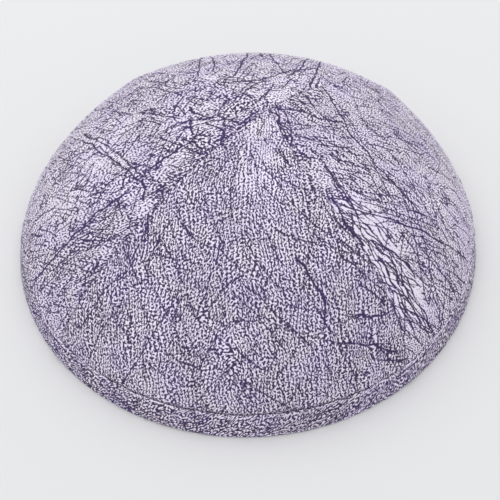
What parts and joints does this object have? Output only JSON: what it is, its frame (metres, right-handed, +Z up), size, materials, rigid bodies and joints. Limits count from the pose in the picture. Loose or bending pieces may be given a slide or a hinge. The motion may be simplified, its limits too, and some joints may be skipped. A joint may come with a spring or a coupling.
{
  "type": "kippah skullcap",
  "caption": "Shallow domed leather skullcap sewn from gores that meet at the crown, with a folded strip of the same leather round the rim.",
  "frame": {"origin": "centre of the round rim, on the surface that the cap rests on", "axes": "+Z up through the crown; +X to the right and +Y to the back as the cap is pictured"},
  "size_m": [0.1748, 0.1748, 0.0585],
  "materials": {
    "gore_leather": "two-tone antiqued crackle: pale lilac raised grain over dark purple creases, satin",
    "band_leather": "the same two-tone antiqued crackle leather, a little darker where it is folded"
  },
  "bodies": {
    "root": {"gore_front": "gore_leather", "gore_right": "gore_leather", "gore_back": "gore_leather", "gore_left": "gore_leather", "rim_band": "band_leather"}
  },
  "joints": []
}
